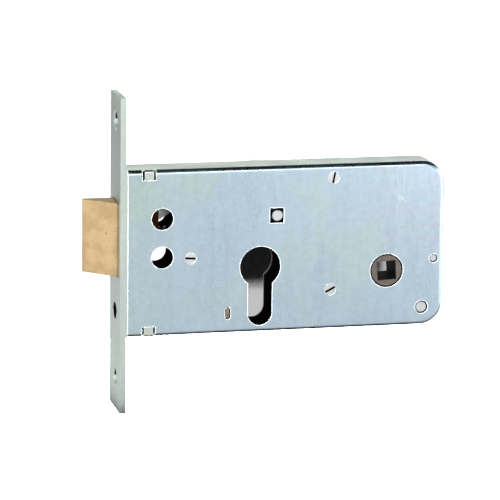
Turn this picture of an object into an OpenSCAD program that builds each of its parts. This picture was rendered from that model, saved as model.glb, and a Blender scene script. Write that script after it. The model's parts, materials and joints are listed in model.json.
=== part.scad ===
// Mortise lock for a mid rail: sheet steel case and cover on a flat forend, a brass spring
// latch, a profile cylinder opening in the middle and an 8 mm follower behind it.
// Origin: the cylinder axis at the middle of the case's thickness. X runs into the door,
// Y is across the case's thickness and Z is up.

/* [Forend] */
// Length of the forend plate
forend_len = 133; // [125:1:145]
// Width of the forend plate
forend_w = 22; // [20:1:25]
// Thickness of the forend plate
forend_t = 2.5; // [2:0.5:3]
// Height of the forend's middle over the cylinder axis
forend_mid_z = 6.8; // [5:0.1:9]
// Height of the upper fixing screw hole over the cylinder axis
upper_screw_z = 62.4; // [60:0.1:65]
// Height of the lower fixing screw hole over the cylinder axis
lower_screw_z = -46.6; // [-49:0.1:-44]
// Radius of the fixing screw holes
fixing_r = 2.5; // [2.1:0.1:2.7]
// Radius of the countersinks
countersink_r = 4.3; // [4:0.1:4.8]
// Radius of the hole for the cylinder's fixing screw
cylinder_screw_r = 2.9; // [2.6:0.1:3.1]
// Height of that hole
cylinder_screw_z = -18.5; // [-19:0.1:-18]

/* [Case] */
// Distance from the forend's face to the cylinder axis
backset = 60; // [58:1:65]
// Distance from the cylinder axis to the rear end of the case
rear_x = 79.4; // [78:0.1:85]
// Height of the case's top over the cylinder axis
case_top = 42.4; // [42:0.1:45]
// Height of the case's bottom
case_bottom = -28; // [-32:0.1:-27.8]
// Thickness of the whole case
case_t = 16; // [16:0.5:18]
// Thickness of the cover and of the case's side plate
plate_t = 1.5; // [1.2:0.1:1.5]
// Thickness of the case's edge walls
wall_t = 1.2; // [1:0.1:1.5]
// Radius of the two rear corners
corner_r = 9.5; // [6:0.5:12]
// Radius of the rounded rims
rim_r = 2.2; // [1.6:0.1:2.4]
// Gap between the cover's rim and the edge walls
seam = 0.2; // [0.1:0.05:0.4]

/* [Cylinder opening] */
// Radius of the round part
profile_r = 8.7; // [8.6:0.05:8.9]
// Radius of the narrow part
profile_web_r = 5.2; // [5.1:0.05:5.3]
// Depth of the opening's lowest point under the axis
profile_drop = 25.1; // [24.9:0.1:25.4]

/* [Latch] */
// Height of the latch head
latch_h = 31; // [26:0.5:32]
// Height of the latch head's middle
latch_mid_z = 13.2; // [12:0.1:14]
// Thickness of the latch head
latch_t = 12.4; // [11:0.1:12.6]
// How far the latch stands out of the forend
latch_reach = 12.9; // [10:0.1:14]
// How far the latch travels into the case
latch_travel = 12.6; // [9:0.1:13]
// Thickness of the tail plate
tail_t = 2; // [1.5:0.5:2.5]

/* [Follower] */
// Distance from the cylinder axis to the follower axis
follower_x = 54.6; // [52:0.1:56]
// Height of the follower axis
follower_z = -3.8; // [-5:0.1:-2]
// Radius of the follower's journals
follower_r = 7.1; // [6.5:0.1:7.5]
// Side of the spindle square
spindle = 8.1; // [7.1:0.1:9.1]
// Length of the arm that draws the latch
follower_arm = 22; // [20:0.5:24]
// Turn of the spindle square at rest
spindle_turn = 3.7; // [0:0.1:5]

/* [Cylinder lever] */
// Place of the lever's pivot along the case
lever_x = 7.1; // [6.5:0.1:8]
// Height of the lever's pivot
lever_z = 21.5; // [21:0.1:22]
// Length of the arm that draws the latch
lever_up = 11; // [10.5:0.1:11.5]
// Length of the arm in the cylinder cam's circle
lever_down = 10; // [9:0.5:10.5]

/* [Springs] */
// Radius of the latch spring's wire
latch_wire_r = 0.45; // [0.3:0.05:0.5]
// Radius of the latch spring's turns
latch_coil_r = 2.8; // [2.6:0.1:3]
// Number of turns in the latch spring
latch_turns = 9; // [6:1:10]
// Radius of the follower spring's wire
follower_wire_r = 0.5; // [0.3:0.1:0.5]
// Radius of the lever spring's wire
lever_wire_r = 0.3; // [0.2:0.05:0.3]

/* [Hidden] */
$fn = 96;

zinc = [0.74, 0.79, 0.82];
brass = [0.84, 0.68, 0.44];
plain_steel = [0.55, 0.56, 0.58];
sintered = [0.52, 0.46, 0.41];
spring_steel = [0.35, 0.36, 0.38];
bronze = [0.55, 0.42, 0.3];

over = 1;                                   // how far a cutter runs past the metal it cuts
join = 0.5;                                 // how far two parts of one piece run into each other
near_y = -case_t / 2;                       // outer face of the cover
far_y = case_t / 2;                         // outer face of the case's side plate
near_in = near_y + plate_t;
far_in = far_y - plate_t;
front_x = -backset;                         // exposed face of the forend
fit_gap = 0.1;                              // radial clearance of a turning or sliding fit
case_x = front_x + forend_t;                // where the case meets the forend
wall_back = case_x + wall_t;                // inner face of the case's front wall
cover_x = wall_back + fit_gap;
rim_t = rim_r + 0.1;                        // depth of the cover's rim, and least depth of the case's
wall_y = near_y + rim_t + seam;             // front edge of the case's walls
shoulder = 0.5;                             // step of a pin where it is riveted into the side plate

// Screws of the cover: [x, z, turn of the slot]
screw_spots = [[-29.7, 4.7, 4], [30.2, -11.0, -27], [31.1, 36.8, -78]];
screw_head_r = 2.45;
screw_r = 1.5;
slot_w = 0.8;
slot_deep = 0.7;
pillar_r = 3.5;
pillar_rivet_r = 2.5;

// Through holes behind the latch: [x, z]
through_spots = [[-41.7, 21.7], [-41.7, 5.4]];
through_r = 4.6;

// Tabs that hold the cover's front end: they pass its notches and are bent down over it
tab_x = -47.3;
tab_w = 3.8;
notch_w = 5.6;
notch_deep = 4.2;
tab_len = 4;
tab_face_y = near_y + 0.1;

window_x = 6.8;                             // middle of the square window round the lever pivot
window_z = 21.6;
window_w = 5.9;
window_h = 6.4;
lever_pivot_r = 2.25;
pivot_sunk = 0.2;                           // how far the pivot's end lies under the cover's face

stud_x = 70.1;                              // stud that holds the follower spring's fixed leg
stud_z = -20.2;
stud_r = 2.25;
stud_hole_r = 2.8;
stud_sunk = 0.3;
stop_x = 75;                                // pin that the follower's rear arm rests against
stop_z = 0.7;
stop_r = 1.5;
stop_hole_r = 1.85;
stop_sunk = 0.5;

guide_plate_x = -13.7;                      // plate that leads the cylinder's fixing screw
guide_plate_z = -19.4;
guide_plate_t = 1.4;
guide_tab_h = 4.2;
guide_tab_sunk = 0.3;
guide_slot_w = 2.4;
guide_slot_h = 5.3;
guide_plate_low = -24;
guide_plate_high = -13;

rivet_z = [36.5, -24];                      // flush rivets between the forend and the case
rivet_r = 1.7;
rivet_head_r = 2.3;
rivet_head_t = 0.8;

// Latch
latch_low = latch_mid_z - latch_h / 2;
latch_high = latch_mid_z + latch_h / 2;
latch_side = latch_t / 2;
latch_gap = 0.5;                            // opening round the latch, above and below
forend_gap = [1.1, 0.7];                    // opening beside the latch in the forend: near, far
wall_gap = [0.6, 0.3];                      // opening beside the latch in the case's front wall
latch_back = -46.5;                         // back of the head's lower part
boss_back = -43;                            // back of the head's upper part, which holds the tail
boss_low = 17.5;
tip_flat = 0.6;
bevel_break_x = -62.9;                      // where the main bevel meets the steeper root bevel
bevel_break_y = -3.4;
root_x = front_x - 0.4;

// Tail
tail_low = 25;
tail_high = 32.3;
tail_front = -55;
tail_root_low = 19.5;
tail_root_high = 27.6;
tail_rear = 54.2;
neck_low_x = boss_back + 10;                // where the tail's lower edge has risen to tail_low
neck_foot_x = boss_back + 1.5;              // where its upper edge starts to rise
neck_high_x = boss_back + 6;                // where its upper edge has risen to tail_high
tail_rivet_x = [-53, -48.5];
tail_rivet_z = 23.5;
tail_rivet_r = 1.5;
guide_x = 38;
guide_z = (tail_low + tail_high) / 2;
guide_r = 1.8;
guide_head_r = 3;
guide_head_t = 1.2;
guide_face = 2.4;                           // distance from the stud's faces to the tail's middle
draw_lug_x = 51.3;                          // lug that the follower's arm pushes
draw_lug_low = 16.3;
lever_lug_x = 4.3;                          // lug that the cylinder lever pushes
lever_lug_w = 2.4;
lever_lug_low = 29.5;
lever_lug_y = 4.2;

// Follower: the arm leans as far before the upright at rest as past it when turned
follower_turn = latch_travel / follower_arm * 180 / PI;
follower_lean = -follower_turn / 2;
follower_disc_r = 10.5;
follower_disc_t = 5;
arm_root_r = 4.2;
arm_tip_r = 2;
rear_arm = 19;
rear_arm_rise = 0.5;
rear_tip_r = 1.8;
hub_chamfer = 0.5;
hub_sunk = 0.2;

// Cylinder lever
lever_turn = latch_travel / lever_up * 180 / PI;
lever_lean = -lever_turn / 2;
lever_y = 1.4;
lever_thick = 2.5;
lever_hub_r = 4.6;
lever_up_root = 2.8;
lever_down_root = 3;
lever_tip_r = 1.6;
lever_nose_r = 2;
lever_down_lean = 20;                       // lean of the lower arm at rest

// Latch spring on its rod
spring_z = 13.8;
rod_r = 1.5;
rod_front = -49.4;
bracket_x = -19;
bracket_t = 2;
bracket_low = 9.6;
bracket_high = 18.4;
bracket_near = -5;
bracket_foot = 5.5;                         // length of the foot riveted to the side plate
rod_tail = 0.8;                             // rod's riveted end behind the bracket
rod_bore_front = -62.4;
coil_step = 18;                             // angle between two rings of a coil's wire
leg_rings = 4;                              // rings along a torsion spring's leg

// Torsion springs: coil radius, start angle, sweep, and the free ends [x, z] from the axis
spring_gap = 0.3;                           // space between a coil and what it lies beside
follower_coil_r = follower_r + 1.5;
follower_coil_start = 20;
follower_coil_sweep = -745;
follower_near_leg = [stop_x - 6 - follower_x, -3.4];
follower_far_leg = [12.9, stud_z - follower_z - 3];
lever_coil_r = lever_pivot_r + 0.75;
lever_coil_start = 180;
lever_coil_sweep = 540;
lever_near_leg = [-4.5, 15];
lever_far_leg = [6, 15];

// ---- helpers --------------------------------------------------------------------------

// A plate whose outline is drawn in X and Z, from y0 to y1
module slab(y0, y1) {
    translate([0, y1, 0])
        rotate([90, 0, 0])
            linear_extrude(y1 - y0)
                children();
}

// A bar whose section is drawn in Y and Z, from x0 to x1
module bar_x(x0, x1) {
    translate([x0, 0, 0])
        rotate([90, 0, 90])
            linear_extrude(x1 - x0)
                children();
}

// A round pin or hole across the case
module round_y(x, z, r, y0, y1) {
    translate([x, y0, z])
        rotate([-90, 0, 0])
            cylinder(r = r, h = y1 - y0);
}

// A cone across the case: r0 at y0 and r1 at y1
module cone_y(x, z, r0, r1, y0, y1) {
    translate([x, y0, z])
        rotate([-90, 0, 0])
            cylinder(r1 = r0, r2 = r1, h = y1 - y0);
}

// A round pin or hole along the case
module round_x(y, z, r, x0, x1) {
    translate([x0, y, z])
        rotate([0, 90, 0])
            cylinder(r = r, h = x1 - x0);
}

// Outline of a slot with round ends, its length along its own X
module slot_shape(len, w) {
    square([len - w, w], center = true);
    for (side = [-1, 1])
        translate([side * (len - w) / 2, 0])
            circle(w / 2);
}

// Outline of the case in X and Z from x0 back, drawn in by inset on the other three sides
module case_outline(x0, inset) {
    r = corner_r - inset;
    low = case_bottom + inset;
    high = case_top - inset;
    rear = rear_x - inset;
    translate([x0, low])
        square([rear - r - x0, high - low]);
    translate([rear - r - over, low + r])
        square([r + over, high - low - 2 * r]);
    for (z = [low + r, high - r])
        translate([rear - r, z])
            circle(r);
}

// Section of a rim in Y and outwards: t thick, with its outer edge rounded at the +Y side
module rim_section(t) {
    square([t - rim_r, rim_r]);
    translate([t - rim_r, 0])
        intersection() {
            circle(rim_r);
            square(rim_r);
        }
}

// The case's outline as a solid from y = 0 to t, with a rounded rim on the +Y side
module rimmed_plate(x0, t) {
    rise = case_top - case_bottom - 2 * corner_r;
    centre_x = rear_x - corner_r;
    slab(0, t)
        case_outline(x0, rim_r);
    bar_x(x0, centre_x)
        translate([0, case_top - rim_r])
            rim_section(t);
    bar_x(x0, centre_x)
        translate([0, case_bottom + rim_r])
            mirror([0, 1])
                rim_section(t);
    translate([rear_x - rim_r, 0, case_bottom + corner_r])
        linear_extrude(rise)
            mirror([1, -1])
                rim_section(t);
    for (top = [0, 1])
        translate([centre_x, 0, top ? case_top - corner_r : case_bottom + corner_r])
            rotate([-90, 0, 0])
                rotate([0, 0, -90 * top])
                    rotate_extrude(angle = 90)
                        translate([corner_r - rim_r, 0])
                            mirror([1, -1])
                                rim_section(t);
}

// Outline of the profile cylinder's opening
module profile_shape() {
    web_z = profile_drop - profile_web_r;
    circle(profile_r);
    translate([-profile_web_r, -web_z])
        square([2 * profile_web_r, web_z]);
    translate([0, -web_z])
        circle(profile_web_r);
}

// Openings that the cover and the case's side plate share
module side_openings() {
    slab(near_y - over, far_y + over)
        profile_shape();
    for (s = through_spots)
        round_y(s[0], s[1], through_r, near_y - over, far_y + over);
    round_y(follower_x, follower_z, follower_r + fit_gap, near_y - over, far_y + over);
    slab(near_y - over, far_y + over)
        translate([guide_plate_x, guide_plate_z])
            rotate(90)
                slot_shape(guide_slot_h, guide_slot_w);
}

// An arm from the origin: root_r at the root, tip_r at length len, leaning from the upright
module arm_shape(len, lean, root_r, tip_r) {
    rotate(-lean) {
        polygon([
            [-root_r, 0], [root_r, 0],
            [tip_r, len], [-tip_r, len]
        ]);
        translate([0, len])
            circle(tip_r);
    }
}

// Round wire along a path of points; across is a direction that the path never runs in
module wire(path, r, across, sides = 8) {
    last = len(path) - 1;
    rings = [
        for (i = [0:last])
            let (
                run = path[min(i + 1, last)] - path[max(i - 1, 0)],
                side = cross(across, run) / norm(cross(across, run)),
                up = cross(run, side) / norm(cross(run, side))
            )
            for (k = [0:sides - 1])
                path[i] + r * (side * cos(360 * k / sides) + up * sin(360 * k / sides))
    ];
    walls = [
        for (i = [0:last - 1], k = [0:sides - 1])
            let (next = (k + 1) % sides)
            [i * sides + k, i * sides + next, (i + 1) * sides + next, (i + 1) * sides + k]
    ];
    start_cap = [for (k = [sides - 1:-1:0]) k];
    end_cap = [for (k = [0:sides - 1]) last * sides + k];
    polyhedron(points = rings, faces = concat([start_cap], walls, [end_cap]), convexity = 8);
}

// Torsion spring round the axis at x and z, coiled from y0 to y1 over sweep degrees, with a
// straight leg from each end to a free point [x, z] measured from the axis
module torsion_spring(x, z, r, wire_r, start, sweep, near_leg, far_leg, y0, y1) {
    last = round(abs(sweep) / coil_step);
    near_root = r * [cos(start), sin(start)];
    far_root = r * [cos(start + sweep), sin(start + sweep)];
    wire([
        for (i = [0:leg_rings - 1])
            let (p = near_leg + (near_root - near_leg) * i / leg_rings)
            [x + p[0], y0, z + p[1]],
        for (i = [0:last])
            let (a = start + sweep * i / last)
            [x + r * cos(a), y0 + (y1 - y0) * i / last, z + r * sin(a)],
        for (i = [leg_rings - 1:-1:0])
            let (p = far_leg + (far_root - far_leg) * i / leg_rings)
            [x + p[0], y1, z + p[1]]
    ], wire_r, [0, 1, 0]);
}

// ---- forend ---------------------------------------------------------------------------

module forend() {
    color(zinc)
        difference() {
            bar_x(front_x, case_x)
                translate([0, forend_mid_z])
                    square([forend_w, forend_len], center = true);
            bar_x(front_x - over, case_x + over)
                latch_window(forend_gap);
            for (z = [upper_screw_z, lower_screw_z]) {
                round_x(0, z, fixing_r, front_x - over, case_x + over);
                translate([front_x, 0, z])
                    rotate([0, 90, 0])
                        cylinder(r1 = countersink_r, r2 = fixing_r, h = countersink_r - fixing_r);
            }
            round_x(0, cylinder_screw_z, cylinder_screw_r, front_x - over, case_x + over);
            for (z = rivet_z)
                round_x(0, z, rivet_r, front_x - over, case_x + over);
        }
}

// Outline in Y and Z of the opening that the latch runs in, with gap beside it: near, far
module latch_window(gap) {
    translate([-latch_side - gap[0], latch_low - latch_gap])
        square([latch_t + gap[0] + gap[1], latch_h + 2 * latch_gap]);
}

module forend_rivets() {
    color(zinc)
        for (z = rivet_z) {
            round_x(0, z, rivet_r, front_x, wall_back);
            round_x(0, z, rivet_head_r, wall_back, wall_back + rivet_head_t);
        }
}

// ---- case -----------------------------------------------------------------------------

// Side plate: the flat far side of the case, with its rounded rim
module side_plate() {
    color(zinc)
        difference() {
            intersection() {
                case_blank();
                slab(far_in, far_y + over)
                    case_outline(case_x - over, -over);
            }
            side_openings();
            for (s = screw_spots)
                round_y(s[0], s[1], pillar_rivet_r, far_in - over, far_y + over);
            round_y(stud_x, stud_z, stud_r - shoulder, far_in - over, far_y + over);
            round_y(stop_x, stop_z, stop_r, far_in - over, far_y + over);
            round_y(lever_x, lever_z, lever_pivot_r - shoulder, far_in - over, far_y + over);
            round_y(guide_x, guide_z, guide_r, far_in - over, far_y + over);
        }
}

// Front wall of the case, behind the forend
module front_wall() {
    color(zinc)
        difference() {
            wall_part(case_x - over, wall_back);
            case_front_openings();
        }
}

// Rear wall of the case, with its rounded corners
module rear_wall() {
    color(zinc)
        wall_part(rear_x - corner_r, rear_x + over);
}

module top_wall() {
    color(zinc)
        translate([0, 0, case_top])
            long_wall();
}

module bottom_wall() {
    color(zinc)
        translate([0, 0, case_bottom])
            mirror([0, 0, 1])
                long_wall();
}

// A long wall of the case with its outer face at z = 0, and its tab bent over the cover's end
module long_wall() {
    bar_x(wall_back, rear_x - corner_r)
        intersection() {
            translate([wall_y, -rim_r])
                rim_section(far_y - wall_y);
            translate([wall_y, -wall_t])
                square([far_in - wall_y, wall_t]);
        }
    bar_x(tab_x - tab_w / 2, tab_x + tab_w / 2)
        tab_section();
}

// The stretch of the case's walls from x0 to x1
module wall_part(x0, x1) {
    intersection() {
        edge_walls();
        translate([x0, near_y, case_bottom - over])
            cube([x1 - x0, case_t, case_top - case_bottom + 2 * over]);
    }
}

// The walls round the case, which are of one sheet with the side plate
module edge_walls() {
    difference() {
        union() {
            intersection() {
                case_blank();
                slab(wall_y - over, far_in)
                    case_outline(case_x - over, -over);
            }
            case_front_lip();
        }
        slab(wall_y - seam / 2, far_in + over)
            cavity_outline();
    }
}

// The case as a solid block, before it is hollow
module case_blank() {
    translate([0, wall_y, 0])
        rimmed_plate(case_x, far_y - wall_y);
}

// Front wall's edge, which reaches the cover's face beside the forend
module case_front_lip() {
    translate([case_x, tab_face_y, case_bottom])
        cube([wall_t, wall_y + join - tab_face_y, case_top - case_bottom]);
}

// Section of a tab in Y and Z, hanging from z = 0
module tab_section() {
    translate([tab_face_y + wall_t, -wall_t])
        square([wall_y + join - tab_face_y - wall_t, wall_t]);
    translate([tab_face_y, -tab_len])
        square([wall_t, tab_len - wall_t]);
    translate([tab_face_y + wall_t, -wall_t])
        intersection() {
            circle(wall_t);
            translate([-wall_t, 0])
                square(wall_t);
        }
}

// Outline of the hollow between the edge walls
module cavity_outline() {
    intersection() {
        case_outline(case_x, wall_t);
        translate([wall_back, case_bottom])
            square([rear_x - case_x, case_top - case_bottom]);
    }
}

// Latch window and cylinder screw hole in the front wall
module case_front_openings() {
    bar_x(case_x - over, wall_back + over)
        latch_window(wall_gap);
    round_x(0, cylinder_screw_z, cylinder_screw_r, case_x - over, wall_back + over);
    for (z = rivet_z)
        round_x(0, z, rivet_r, case_x - over, wall_back + over);
}

// Cover: a shallow dish, its edges drawn back to meet the case's walls
module cover() {
    color(zinc)
        difference() {
            translate([0, near_y + rim_t, 0])
                mirror([0, 1, 0])
                    rimmed_plate(cover_x, rim_t);
            slab(near_in, near_y + rim_t + over)
                case_outline(cover_x - over, wall_t);
            side_openings();
            slab(near_y - over, near_in + over)
                translate([window_x, window_z])
                    square([window_w, window_h], center = true);
            for (z = [case_top, case_bottom])
                slab(near_y - over, near_y + rim_t + over)
                    translate([tab_x, z])
                        square([notch_w, 2 * notch_deep], center = true);
            for (s = screw_spots)
                cone_y(s[0], s[1], screw_head_r, screw_r, near_y, near_in);
            round_y(stud_x, stud_z, stud_hole_r, near_y - over, near_in + over);
            round_y(stop_x, stop_z, stop_hole_r, near_y - over, near_in + over);
        }
}

module cover_screws() {
    color(zinc)
        for (s = screw_spots)
            difference() {
                union() {
                    cone_y(s[0], s[1], screw_head_r, screw_r, near_y, near_in);
                    round_y(s[0], s[1], screw_r, near_in, 0);
                }
                translate([s[0], near_y, s[1]])
                    rotate([0, s[2], 0])
                        cube([2 * screw_head_r + over, 2 * slot_deep, slot_w], center = true);
            }
}

// Threaded pillars between the plates, riveted into the case's side plate
module screw_pillars() {
    color(plain_steel)
        for (s = screw_spots)
            difference() {
                union() {
                    round_y(s[0], s[1], pillar_r, near_in, far_in);
                    round_y(s[0], s[1], pillar_rivet_r, far_in, far_y);
                }
                round_y(s[0], s[1], screw_r, near_in - over, 0);
            }
}

// ---- latch ----------------------------------------------------------------------------

module latch_head() {
    color(brass)
        difference() {
            union() {
                translate([0, 0, latch_low])
                    linear_extrude(latch_h)
                        polygon([
                            [front_x - latch_reach, latch_side],
                            [front_x - latch_reach, latch_side - tip_flat],
                            [bevel_break_x, bevel_break_y],
                            [root_x, -latch_side],
                            [latch_back, -latch_side],
                            [latch_back, latch_side]
                        ]);
                translate([latch_back - over, -latch_side, boss_low])
                    cube([boss_back - latch_back + over, latch_t, latch_high - boss_low]);
            }
            // slot for the tail plate
            translate([tail_front, -tail_t / 2, tail_root_low])
                cube([boss_back - tail_front + over, tail_t, tail_root_high - tail_root_low]);
            for (x = tail_rivet_x)
                round_y(x, tail_rivet_z, tail_rivet_r, -latch_side - over, latch_side + over);
            round_x(0, spring_z, rod_r + fit_gap, rod_bore_front, latch_back + over);
        }
}

module latch_tail() {
    color(plain_steel)
        difference() {
            union() {
                slab(-tail_t / 2, tail_t / 2)
                    tail_shape();
                translate([lever_lug_x, -tail_t / 2, lever_lug_low])
                    cube([lever_lug_w, tail_t / 2 + lever_lug_y, tail_high - lever_lug_low]);
            }
            slab(-tail_t, tail_t)
                translate([guide_x - (latch_travel + 0.2) / 2, guide_z])
                    slot_shape(latch_travel + 0.6 + 2 * guide_r, 2 * (guide_r + fit_gap));
            for (x = tail_rivet_x)
                round_y(x, tail_rivet_z, tail_rivet_r, -tail_t, tail_t);
        }
}

// Outline of the tail plate in X and Z
module tail_shape() {
    translate([tail_front, tail_root_low])
        square([boss_back - tail_front, tail_root_high - tail_root_low]);
    polygon([
        [boss_back - join, tail_root_low],
        [boss_back, tail_root_low],
        [neck_low_x, tail_low],
        [tail_rear, tail_low],
        [tail_rear, tail_high],
        [neck_high_x, tail_high],
        [neck_foot_x, tail_root_high],
        [boss_back - join, tail_root_high]
    ]);
    translate([draw_lug_x, draw_lug_low])
        square([tail_rear - draw_lug_x, tail_low - draw_lug_low + over]);
}

module tail_rivets() {
    color(plain_steel)
        for (x = tail_rivet_x)
            round_y(x, tail_rivet_z, tail_rivet_r, -latch_side, latch_side);
}

module tail_guide_stud() {
    color(plain_steel) {
        round_y(guide_x, guide_z, guide_r, -guide_face - join, far_y);
        round_y(guide_x, guide_z, guide_head_r, -guide_face - guide_head_t, -guide_face);
        round_y(guide_x, guide_z, guide_head_r, guide_face, far_in);
    }
}

module latch_spring() {
    first_x = latch_back + latch_wire_r;
    coil_len = bracket_x - latch_wire_r - first_x;
    last = latch_turns * 360 / coil_step;
    color(spring_steel)
        wire([
            for (i = [0:last])
                [
                    first_x + coil_len * i / last,
                    latch_coil_r * cos(coil_step * i),
                    spring_z + latch_coil_r * sin(coil_step * i)
                ]
        ], latch_wire_r, [1, 0, 0]);
}

// Rod that keeps the latch spring straight; the latch head slides over its front end
module spring_rod() {
    color(plain_steel)
        round_x(0, spring_z, rod_r, rod_front, bracket_x + bracket_t + rod_tail);
}

module spring_bracket() {
    color(plain_steel)
        difference() {
            union() {
                translate([bracket_x, bracket_near, bracket_low])
                    cube([bracket_t, far_in - bracket_near, bracket_high - bracket_low]);
                translate([bracket_x - bracket_foot, far_in - plate_t, bracket_low])
                    cube([bracket_foot + join, plate_t, bracket_high - bracket_low]);
            }
            round_x(0, spring_z, rod_r, bracket_x - over, bracket_x + bracket_t + over);
        }
}

// ---- follower -------------------------------------------------------------------------

module follower() {
    hub_y = near_y + hub_sunk;
    color(sintered)
        translate([follower_x, 0, follower_z])
            difference() {
                union() {
                    round_y(0, 0, follower_r, hub_y + hub_chamfer, -hub_y - hub_chamfer);
                    cone_y(0, 0, follower_r - hub_chamfer, follower_r, hub_y, hub_y + hub_chamfer);
                    cone_y(0, 0, follower_r, follower_r - hub_chamfer,
                           -hub_y - hub_chamfer, -hub_y);
                    round_y(0, 0, follower_disc_r, -follower_disc_t / 2, follower_disc_t / 2);
                    slab(-follower_disc_t / 2, follower_disc_t / 2) {
                        arm_shape(follower_arm, follower_lean, arm_root_r, arm_tip_r);
                        translate([0, rear_arm_rise])
                            arm_shape(rear_arm, 90, arm_root_r, rear_tip_r);
                    }
                }
                rotate([0, -spindle_turn, 0])
                    cube([spindle, case_t + over, spindle], center = true);
            }
}

// Torsion spring round the follower's journal, between its stud and the rear arm
module follower_spring() {
    clear = spring_gap + follower_wire_r;
    color(spring_steel)
        torsion_spring(
            follower_x, follower_z, follower_coil_r, follower_wire_r,
            follower_coil_start, follower_coil_sweep, follower_near_leg, follower_far_leg,
            follower_disc_t / 2 + clear, far_in - clear
        );
}

module spring_stud() {
    color(zinc) {
        round_y(stud_x, stud_z, stud_r, near_y + stud_sunk, far_in);
        round_y(stud_x, stud_z, stud_r - shoulder, far_in, far_y);
    }
}

module stop_pin() {
    color(plain_steel)
        round_y(stop_x, stop_z, stop_r, near_y + stop_sunk, far_y);
}

// ---- cylinder lever -------------------------------------------------------------------

module cylinder_lever() {
    color(plain_steel)
        difference() {
            slab(lever_y, lever_y + lever_thick)
                translate([lever_x, lever_z]) {
                    circle(lever_hub_r);
                    arm_shape(lever_up, lever_lean, lever_up_root, lever_tip_r);
                    arm_shape(lever_down, 180 - lever_down_lean, lever_down_root, lever_nose_r);
                }
            round_y(lever_x, lever_z, lever_pivot_r + fit_gap, lever_y - over, far_in);
        }
}

module lever_pivot() {
    color(zinc) {
        round_y(lever_x, lever_z, lever_pivot_r, near_y + pivot_sunk, far_in);
        round_y(lever_x, lever_z, lever_pivot_r - shoulder, far_in, far_y);
    }
}

// Hairpin spring round the lever's pivot
module lever_spring() {
    clear = spring_gap + lever_wire_r;
    color(spring_steel)
        torsion_spring(
            lever_x, lever_z, lever_coil_r, lever_wire_r,
            lever_coil_start, lever_coil_sweep, lever_near_leg, lever_far_leg,
            lever_y + lever_thick + clear, far_in - clear
        );
}

// Plate beside the cylinder opening that leads the cylinder's fixing screw to its thread; its
// tabs stand in slots of the cover and the side plate
module screw_guide() {
    color(bronze)
        difference() {
            union() {
                translate([guide_plate_x - guide_plate_t / 2, near_in, guide_plate_low])
                    cube([guide_plate_t, far_in - near_in, guide_plate_high - guide_plate_low]);
                translate([guide_plate_x, 0, guide_plate_z])
                    cube([guide_plate_t, case_t - 2 * guide_tab_sunk, guide_tab_h], center = true);
            }
            round_x(0, cylinder_screw_z, cylinder_screw_r,
                    guide_plate_x - over, guide_plate_x + over);
        }
}

forend();
forend_rivets();
cover();
side_plate();
front_wall();
top_wall();
bottom_wall();
rear_wall();
cover_screws();
screw_pillars();
latch_head();
latch_tail();
tail_rivets();
tail_guide_stud();
latch_spring();
spring_rod();
spring_bracket();
follower();
follower_spring();
spring_stud();
stop_pin();
cylinder_lever();
lever_pivot();
lever_spring();
screw_guide();
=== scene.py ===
"""Looks of a mortise lock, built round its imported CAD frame.

The steel case and cover are bright zinc plated, the latch is cast brass, the follower is
sintered iron, and the pieces inside are plain steel. Every size is in metres.
"""

import json
import logging
import math
from dataclasses import dataclass, field
from enum import Enum

import bpy
from bpy.types import Material, Node, NodeSocket, NodeTree, Object
from mathutils import Matrix, Vector


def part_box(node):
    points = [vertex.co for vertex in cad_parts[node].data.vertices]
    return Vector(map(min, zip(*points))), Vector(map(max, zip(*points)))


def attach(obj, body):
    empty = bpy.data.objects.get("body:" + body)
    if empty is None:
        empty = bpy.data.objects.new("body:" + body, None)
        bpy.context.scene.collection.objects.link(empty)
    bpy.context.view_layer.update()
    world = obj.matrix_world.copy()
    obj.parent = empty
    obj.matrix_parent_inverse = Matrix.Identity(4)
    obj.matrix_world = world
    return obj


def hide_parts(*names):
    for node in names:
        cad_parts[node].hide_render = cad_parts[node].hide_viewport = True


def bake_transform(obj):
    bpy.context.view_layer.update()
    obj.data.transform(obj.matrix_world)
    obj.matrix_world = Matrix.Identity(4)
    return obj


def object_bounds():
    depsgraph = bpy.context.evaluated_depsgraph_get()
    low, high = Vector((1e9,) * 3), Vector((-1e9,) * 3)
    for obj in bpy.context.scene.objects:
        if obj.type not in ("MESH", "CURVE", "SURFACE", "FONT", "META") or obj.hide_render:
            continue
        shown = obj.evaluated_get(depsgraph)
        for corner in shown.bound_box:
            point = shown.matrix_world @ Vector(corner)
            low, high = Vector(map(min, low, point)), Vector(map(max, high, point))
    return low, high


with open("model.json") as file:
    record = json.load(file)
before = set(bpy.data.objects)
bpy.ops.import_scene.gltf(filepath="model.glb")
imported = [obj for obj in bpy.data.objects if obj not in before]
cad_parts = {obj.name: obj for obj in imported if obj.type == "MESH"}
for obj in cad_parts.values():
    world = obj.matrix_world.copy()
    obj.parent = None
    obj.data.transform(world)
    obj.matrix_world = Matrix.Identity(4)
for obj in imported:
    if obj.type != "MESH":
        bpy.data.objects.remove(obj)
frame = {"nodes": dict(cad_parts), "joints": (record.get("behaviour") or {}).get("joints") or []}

LOG = logging.getLogger("mortise_lock")
MM = 0.001
CAD_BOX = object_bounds()
Colour = tuple[float, float, float]
OIL_ROUGHNESS = 0.75
# Painted shade: near-black colours laid on faces that lie in shadow inside the case, in gaps and
# in holes.
HOUSING_PAINTED_SHADE: Colour = (0.012, 0.011, 0.010)
LATCH_PAINTED_SHADE: Colour = (0.045, 0.020, 0.010)
HUB_PAINTED_SHADE: Colour = (0.010, 0.009, 0.008)


class Look(Enum):
    """Finishes within the record's material slots, by what they are on."""

    COVER = "cover_zinc"
    CASE = "case_zinc"
    FOREND = "forend_zinc"
    STUDS = "stud_zinc"
    SCREWS = "screw_zinc"
    BRASS = "tumbled_brass"
    STEEL = "oiled_steel"
    SINTERED = "browned_sinter"
    WIRE = "drawn_wire"
    BRONZE = "rolled_bronze"

    @property
    def slot(self) -> str:
        """The record's material slot."""
        return {Look.BRASS: "cast_brass", Look.STEEL: "plain_steel",
                Look.SINTERED: "sintered_iron", Look.WIRE: "spring_wire",
                Look.BRONZE: "bronze_strip"}.get(self, "zinc_plate")


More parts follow.
